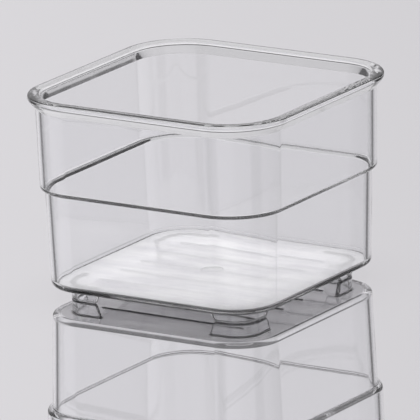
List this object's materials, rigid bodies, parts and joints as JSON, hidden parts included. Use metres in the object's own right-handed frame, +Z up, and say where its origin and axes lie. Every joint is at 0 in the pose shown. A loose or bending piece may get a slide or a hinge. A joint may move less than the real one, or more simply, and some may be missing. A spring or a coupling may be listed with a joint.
{
  "type": "clear square storage bin",
  "caption": "Clear one-piece open-top square storage bin with a thick tapered rim, a wall that steps in at mid height, a ribbed floor and rounded corner feet.",
  "frame": {"origin": "centre of the square footprint, on the surface that the feet rest on", "axes": "+Z up, +X and +Y along the sides of the square; the floor ribs run along X, and -Y is the front"},
  "size_m": [0.1106, 0.1106, 0.08],
  "materials": {
    "clear_plastic": "polished"
  },
  "bodies": {
    "root": {"rim": "clear_plastic", "upper_wall": "clear_plastic", "shoulder": "clear_plastic", "lower_wall": "clear_plastic", "base_edge": "clear_plastic", "floor_plate": "clear_plastic", "floor_ribs": "clear_plastic", "gate_pad": "clear_plastic", "foot_front_left": "clear_plastic", "foot_front_right": "clear_plastic", "foot_back_left": "clear_plastic", "foot_back_right": "clear_plastic"}
  },
  "joints": []
}
